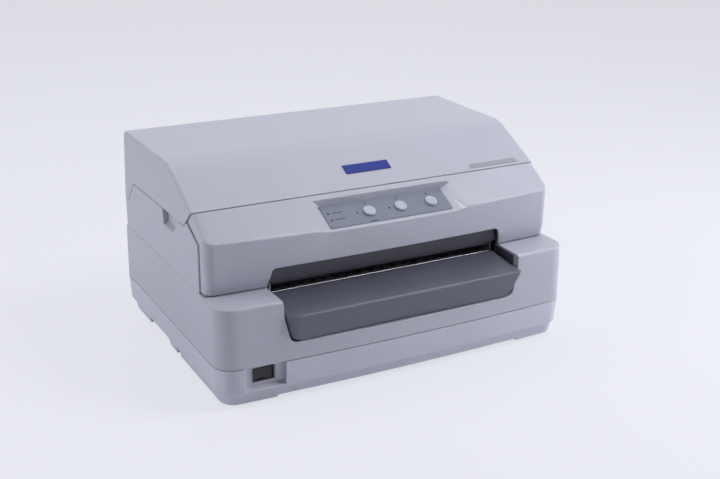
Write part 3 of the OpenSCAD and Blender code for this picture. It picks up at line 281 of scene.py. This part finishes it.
zinc_sheet = sheet_metal("steel_zinc_plated", "B4B8BE", 0.40, 8)
ground_steel = sheet_metal("steel_ground", "C9CCD2", 0.24, 2, streak=(12, 1, 1))
black_oxide = sheet_metal("steel_black_oxide", "3A3B40", 0.48, 6)
cast_alloy = sheet_metal("aluminium_die_cast", "A2A5AC", 0.50, 3)
turned_brass = sheet_metal("brass_turned", "C8A45A", 0.30, 2, streak=(12, 1, 1))
print("materials with the metals:", len(bpy.data.materials))

# %% Rubber, film, lamp, board and ribbon
PLAIN_DARK, PLAIN_PALE = 0.9, 1.08


def plain_finish(name, hex_colour, roughness, ior, grain_mm, depth_mm, streak=(1, 1, 1)):
    """A non-metal with one fine pattern that shades it and raises it slightly."""
    made, t = new_material(name)
    place = add(t, "TexCoord").outputs["Object"]
    stretched = add(t, "Mapping", {"Vector": place, "Scale": streak})
    grain = add(t, "TexNoise", {"Vector": stretched.outputs[0], "Scale": 1 / (grain_mm * MM),
                                "Detail": 3.0})
    shade = add(t, "MapRange", {"Value": grain.outputs[0], 1: NOISE_LOW, 2: NOISE_HIGH,
                                3: PLAIN_DARK, 4: PLAIN_PALE})
    colour = add(t, "VectorMath", {0: linear(hex_colour)[:3], "Scale": shade.outputs[0]}, operation="SCALE")
    bump = add(t, "Bump", {"Height": grain.outputs[0], "Strength": 0.4, "Distance": depth_mm * MM})
    shader = add(t, "BsdfPrincipled", {"Base Color": colour.outputs[0], "Roughness": roughness, "IOR": ior,
                                       "Normal": bump.outputs[0]})
    add(t, "OutputMaterial", {"Surface": shader.outputs[0]})
    return made


rubber = plain_finish("rubber_moulded_black", "1B1B1D", 0.75, 1.52, 1.0, 0.04)
nitrile = plain_finish("nitrile_ground_roller", "26272B", 0.62, 1.52, 0.8, 0.02)
film = plain_finish("polycarbonate_film_blue_grey", "727B8E", 0.42, 1.58, 0.9, 0.006)
lens = plain_finish("lamp_lens_smoked", "34403C", 0.22, 1.49, 2.0, 0.002)
board = plain_finish("circuit_board_lacquered", "1F5A3C", 0.35, 1.5, 2.5, 0.02)
ribbon = plain_finish("nylon_ribbon_inked", "131318", 0.8, 1.53, 0.7, 0.05, streak=(1, 6, 1))
belt = plain_finish("polyurethane_belt", "232326", 0.55, 1.5, 1.0, 0.02)
ink = plain_finish("screen_ink_dark", "262C3E", 0.5, 1.5, 0.8, 0.002)
print("materials:", len(bpy.data.materials))

# %% [markdown]
# ## Shells with rounded edges
# A CAD node arrives as loose triangles with knife edges. Real mouldings have a small radius on
# every edge, and that radius is what catches the light. For each visible shell a copy is joined
# at its corners, its flat faces are merged, its sharp outer edges are bevelled, and its curved faces
# are shaded smooth. The copy then stands for the node.
#
# Blender can hold a bevel back until nothing overlaps, but it then cuts every edge by what the
# tightest corner allows, which here is almost nothing. So the edges are chosen first, and only
# those whose faces and neighbours leave room are cut, at their full radius.

# %% Join the triangles of a shell
WELD = 0.002 * MM
FLAT = math.radians(0.3)


def joined_copy(node):
    """A bmesh of a CAD node with its triangles joined and its flat faces merged."""
    bm = bmesh.new()
    bm.from_mesh(frame["nodes"][node].data)
    bmesh.ops.remove_doubles(bm, verts=bm.verts, dist=WELD)
    bmesh.ops.dissolve_limit(bm, angle_limit=FLAT, verts=bm.verts, edges=bm.edges)
    return bm


print("corners closer than %.3f mm are joined" % (WELD / MM))

# %% Choose the edges to round
SHARP = math.radians(35)
TINY_SHARE = 0.2  # of the shortest edge that is rounded
FACE_ROOM = 1.3  # radii that a face must be wide


def sharp_edges(bm, shortest_mm):
    """Outward edges that turn sharply and are long enough."""
    outward = [e for e in bm.edges if len(e.link_faces) == 2 and e.calc_face_angle_signed(0) > SHARP]
    return [e for e in outward if e.calc_length() > shortest_mm * MM]


def join_runs(bm, shortest_mm):
    """Closes up the tiny edges that break a run of sharp edges, such as where two CAD cuts cross."""
    run = {v for e in sharp_edges(bm, shortest_mm) for v in e.verts}
    limit = TINY_SHARE * shortest_mm * MM
    tiny = [e for e in bm.edges if e.calc_length() < limit and run.issuperset(e.verts)]
    bmesh.ops.collapse(bm, edges=tiny, uvs=False)


def with_room(edges, radius):
    """Leaves out edges whose faces or neighbours are too small to be cut back by the radius."""
    left = {e for e in edges
            if all(f.calc_area() > FACE_ROOM * radius * e.calc_length() for f in e.link_faces)}
    tight = True
    while tight:
        tight = {e for e in left for v in e.verts
                 if any(o not in left and o.calc_length() < radius for o in v.link_edges)}
        left -= tight
    return [e for e in edges if e in left]


print("edges that turn outward by more than %.0f degrees can be rounded" % math.degrees(SHARP))

# %% Finish a piece
SMOOTH_DEGREES = 31


def finish_piece(bm, name, body, material, smooth_below=SMOOTH_DEGREES):
    """Turns a bmesh into a piece that rides on a body, with soft shading below the angle."""
    mesh = bpy.data.meshes.new(name)
    for face in bm.faces:
        face.smooth = True
    for edge in bm.edges:
        edge.smooth = len(edge.link_faces) == 2 and edge.calc_face_angle(0) < math.radians(smooth_below)
    bm.to_mesh(mesh)
    bm.free()
    piece = bpy.data.objects.new(name, mesh)
    piece.data.materials.append(material)
    scene.collection.objects.link(piece)
    even = piece.modifiers.new("even_shading", "WEIGHTED_NORMAL")
    even.keep_sharp, even.weight = True, 100
    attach(piece, body)
    return piece


print("faces that meet below %d degrees are shaded as one" % SMOOTH_DEGREES)

# %% Round the edges of a shell
BEVEL_STEPS = 3


def dress(node, material, radius_mm, shortest_mm=2.5):
    """A rounded copy that stands for a CAD node."""
    bm = joined_copy(node)
    before = len(bm.faces)
    join_runs(bm, shortest_mm)
    edges = with_room(sharp_edges(bm, shortest_mm), radius_mm * MM)
    bmesh.ops.bevel(bm, geom=edges, offset=radius_mm * MM, offset_type="OFFSET", segments=BEVEL_STEPS,
                    profile=0.5, affect="EDGES", clamp_overlap=False, material=-1)
    piece = finish_piece(bm, node + "_rounded", body_of[node], material)
    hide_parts(node)
    print("%s: %d edges rounded, %d -> %d faces" % (node, len(edges), before, len(piece.data.polygons)))


print("each rounded edge is %d faces wide" % BEVEL_STEPS)

# %% Outer shells
SHELLS = {
    # node: finish and radius in millimetres
    "top_cover": (abs_grey, 0.7),
    "front_bezel": (abs_grey, 0.6),
    "main_housing": (abs_grey, 0.9),
    # the lower case's grey is painted lighter, as painted light
    "lower_case": (abs_grey_painted_lighter, 0.7),
    "front_table": (abs_slate, 0.45),
    # the guide's slate is painted darker, as painted shade
    "upper_paper_guide": (abs_slate_painted_shade, 0.3),
    "control_overlay": (film, 0.2),
    "power_rocker": (abs_black, 0.4),
    "power_switch_body": (abs_black, 0.3),
}
for node, (material, radius_mm) in SHELLS.items():
    dress(node, material, radius_mm)

BUTTON_RADIUS, BUTTON_SHORTEST = 0.5, 0.4
for side in ("left", "middle", "right"):
    dress("button_" + side, abs_button, BUTTON_RADIUS, BUTTON_SHORTEST)

# %% [markdown]
# ## Bare badge and name plate
# A thin blue enamelled badge sits on the slanted face of the cover, and a slim grey plate near its right
# end. Both are left bare. They are thin boxes with rounded rims, laid on the slanted face.

# %% Badge and plate
COVER_EDGE = Vector((0, -62.5, 171)) * MM
COVER_RIDGE = Vector((0, 0, 203)) * MM
RIM_SHARE = 0.3  # of the plate's thickness
up_slope = (COVER_RIDGE - COVER_EDGE).normalized()
out_of_slope = Vector((1, 0, 0)).cross(up_slope)


def laid_plate(name, centre_x, up, width, height, thick, material):
    """A thin rounded plate on the cover's slanted face; sizes in millimetres."""
    bm = bmesh.new()
    bmesh.ops.create_cube(bm, size=1.0)
    bmesh.ops.scale(bm, vec=Vector((width, height, thick)) * MM, verts=bm.verts)
    bmesh.ops.translate(bm, vec=(0, 0, thick / 2 * MM), verts=bm.verts)
    rim = [e for e in bm.edges if max(v.co.z for v in e.verts) > 0.1 * thick * MM]
    bmesh.ops.bevel(bm, geom=rim, offset=RIM_SHARE * thick * MM, segments=BEVEL_STEPS, profile=0.5,
                    affect="EDGES", material=-1)
    turn = Matrix((Vector((1, 0, 0)), up_slope, out_of_slope)).transposed().to_4x4()
    at = COVER_EDGE + Vector((centre_x * MM, 0, 0)) + up_slope * up * MM
    bmesh.ops.transform(bm, matrix=Matrix.Translation(at) @ turn, verts=bm.verts)
    return finish_piece(bm, name, "cover", material)


enamel = plain_finish("enamel_blue_on_aluminium", "002488", 0.5, 1.4, 3.0, 0.002)
plate_grey = plain_finish("printed_plate_grey", "9C9DA8", 0.45, 1.5, 2.0, 0.003)
laid_plate("badge", 4, 27, 50, 12, 0.9, enamel)
laid_plate("name_plate", 143.5, 7, 57, 6, 0.5, plate_grey)
print("badge and plate laid at a slope of %.1f degrees" % math.degrees(math.asin(up_slope.z)))

# %% [markdown]
# ## Printed marks on the control panel
# The panel's words are left out. Plain numbers stand over the three buttons, and short dashes stand
# where a label would name a lamp or a second use of a button. All are thin films of ink on the overlay.

# %% Numbers and dashes
PANEL_AT = Vector((0, -99.0, 145.1)) * MM
PANEL_TILT = math.radians(26.2)
OVERLAY_MM, INK_MM = 0.8, 0.05
FONT_PER_HEIGHT, NUMBER_BOLD_MM = 1.4, 0.12
END_SHARE = 0.4  # of the dash's height
up_panel = Vector((0, math.cos(PANEL_TILT), math.sin(PANEL_TILT)))
out_of_panel = Vector((1, 0, 0)).cross(up_panel)
panel_turn = Matrix((Vector((1, 0, 0)), up_panel, out_of_panel)).transposed().to_4x4()


def on_panel(x, up):
    """Matrix that puts a flat mark on the overlay, x to the right and up along it, in millimetres."""
    at = PANEL_AT + Vector((x * MM, 0, 0)) + up_panel * up * MM + out_of_panel * OVERLAY_MM * MM
    return Matrix.Translation(at) @ panel_turn


def dash(name, x, up, width, height):
    """A short printed bar with rounded ends."""
    bm = bmesh.new()
    bmesh.ops.create_cube(bm, size=1.0)
    bmesh.ops.scale(bm, vec=Vector((width, height, 2 * INK_MM)) * MM, verts=bm.verts)
    upright = [e for e in bm.edges if abs(e.verts[0].co.z - e.verts[1].co.z) > INK_MM * MM]
    bmesh.ops.bevel(bm, geom=upright, offset=END_SHARE * height * MM, segments=BEVEL_STEPS, profile=0.5,
                    affect="EDGES", material=-1)
    bmesh.ops.transform(bm, matrix=on_panel(x, up), verts=bm.verts)
    return finish_piece(bm, name, "mechanism", ink)


def number(text, x, up, height):
    """A printed number as a thin mesh."""
    curve = bpy.data.curves.new("number_" + text, "FONT")
    curve.body, curve.size = text, FONT_PER_HEIGHT * height * MM
    curve.align_x, curve.align_y = "CENTER", "CENTER"
    curve.extrude, curve.offset = INK_MM * MM, NUMBER_BOLD_MM * MM
    holder = bpy.data.objects.new("number_" + text, curve)
    flat = bpy.data.meshes.new_from_object(holder)
    bpy.data.objects.remove(holder)
    bm = bmesh.new()
    bm.from_mesh(flat)
    bmesh.ops.remove_doubles(bm, verts=bm.verts, dist=WELD)
    bmesh.ops.transform(bm, matrix=on_panel(x, up), verts=bm.verts)
    return finish_piece(bm, "number_" + text, "mechanism", ink, smooth_below=20)


BUTTON_X, BUTTON_PITCH = 17.5, 34.5
NUMBER_UP, NUMBER_HEIGHT = 29.2, 3.2
for k, text in enumerate("123"):
    number(text, BUTTON_X + (k - 1) * BUTTON_PITCH, NUMBER_UP, NUMBER_HEIGHT)

DASH_HEIGHT = 1.1
DASHES = {
    # name: how far right, how far up, and width, in millimetres
    "dash_lamp_upper": (-49, 23.2, 11),
    "dash_lamp_lower": (-49.5, 14.6, 11),
    "dash_under_button": (BUTTON_X - BUTTON_PITCH, 5.4, 9),
}
for name, (x, up, width) in DASHES.items():
    dash(name, x, up, width, DASH_HEIGHT)
print("printed marks: %d numbers, %d dashes" % (k + 1, len(DASHES)))

# %% [markdown]
# ## Mouth of the front slot
# The lower guide plate ends in a bright steel lip, which is interrupted where the sheet is notched.
# Behind it, a row of small black studs stands on the plate. Thin dark slate strips stand in the
# gaps at both ends of the table, as painted shade.

# %% Lip, studs and painted shade at the bay's ends
LIP_Y, LIP_Z, LIP_R = -86.9, 91.2, 0.45
LIP_BREAKS, LIP_NOTCH = (-122.5, -49, 21, 91, 122.5), 1.6


def bar(bm, low, high):
    """Adds a box between two corners in millimetres."""
    made = bmesh.ops.create_cube(bm, size=1.0)["verts"]
    size = Vector(high) - Vector(low)
    bmesh.ops.scale(bm, vec=size * MM, verts=made)
    bmesh.ops.translate(bm, vec=(Vector(low) + size / 2) * MM, verts=made)


bm = bmesh.new()
for left, right in zip(LIP_BREAKS, LIP_BREAKS[1:]):
    rod = bmesh.ops.create_cone(bm, cap_ends=True, segments=12, radius1=LIP_R * MM, radius2=LIP_R * MM,
                                depth=(right - left - LIP_NOTCH) * MM)["verts"]
    middle = Matrix.Translation(Vector(((left + right) / 2, LIP_Y, LIP_Z)) * MM)
    bmesh.ops.transform(bm, matrix=middle @ Matrix.Rotation(math.pi / 2, 4, "Y"), verts=rod)
finish_piece(bm, "guide_lip", "chassis", ground_steel)

# A row of small black studs, which gives the row of dark spots along the plate.
STUDS, STUD_PITCH, STUD_HALF = 19, 12.6, 2.2
STUD_Y, STUD_Z = (-81.5, -77.5), (90.9, 91.5)
bm = bmesh.new()
for k in range(STUDS):
    x = (k - (STUDS - 1) / 2) * STUD_PITCH
    bar(bm, (x - STUD_HALF, STUD_Y[0], STUD_Z[0]), (x + STUD_HALF, STUD_Y[1], STUD_Z[1]))
finish_piece(bm, "black_studs", "chassis", abs_black)

# Thin dark strips in the gaps at both ends of the table paint the shade there.
BAY_STRIP_X, BAY_STRIP_Y, BAY_STRIP_Z = (128.2, 128.7), (-121, -90.4), (86.5, 96.6)
bm = bmesh.new()
for near, far in ((-BAY_STRIP_X[1], -BAY_STRIP_X[0]), BAY_STRIP_X):
    bar(bm, (near, BAY_STRIP_Y[0], BAY_STRIP_Z[0]), (far, BAY_STRIP_Y[1], BAY_STRIP_Z[1]))
finish_piece(bm, "bay_painted_shade_strips", "chassis", abs_slate_painted_shade)
print("lip in %d lengths, %d studs" % (len(LIP_BREAKS) - 1, STUDS))

# %% [markdown]
# ## Finishes for the other parts
# The parts inside show when the cover or the whole mechanism is lifted, and the sockets and feet
# show from behind and from below. Their shapes are right as they come, so each only takes its finish.

# %% Other parts
FINISHES = {
    "rubber_feet": rubber, "lower_guide_plate": zinc_sheet, "platen_bar": ground_steel,
    "side_frame_left": zinc_sheet, "side_frame_right": zinc_sheet, "base_plate": zinc_sheet,
    "main_board": board, "power_supply": zinc_sheet, "ac_inlet": abs_black, "parallel_port": zinc_sheet,
    "serial_port": zinc_sheet, "usb_port": zinc_sheet, "feed_motor": black_oxide,
    "frame_screws": zinc_sheet, "hinge_pins": ground_steel, "front_feed_roller": nitrile,
    "rear_feed_roller": nitrile, "front_roller_gear": acetal, "rear_roller_gear": acetal,
    "idler_gear": acetal, "motor_pinion": turned_brass, "panel_board": board, "status_lamps": lens,
    "upper_plate_left": zinc_sheet, "upper_plate_right": zinc_sheet, "front_deck": zinc_sheet,
    "rear_deck": zinc_sheet, "guide_shaft": ground_steel, "front_rail": zinc_sheet,
    "carriage_motor": black_oxide, "timing_belt": belt, "drive_pulley": ground_steel,
    "idler_pulley": ground_steel, "front_pinch_roller": nitrile, "rear_pinch_roller": nitrile,
    "ribbon_cartridge": abs_black, "ink_ribbon": ribbon, "ribbon_knob": abs_knob,
    "release_shaft": ground_steel, "release_lever_left": abs_lever, "release_lever_right": abs_lever,
    "carriage": abs_black, "print_head": cast_alloy,
}
for node, material in FINISHES.items():
    piece = frame["nodes"][node]
    piece.data.materials.clear()
    piece.data.materials.append(material)
print("other parts finished:", len(FINISHES))
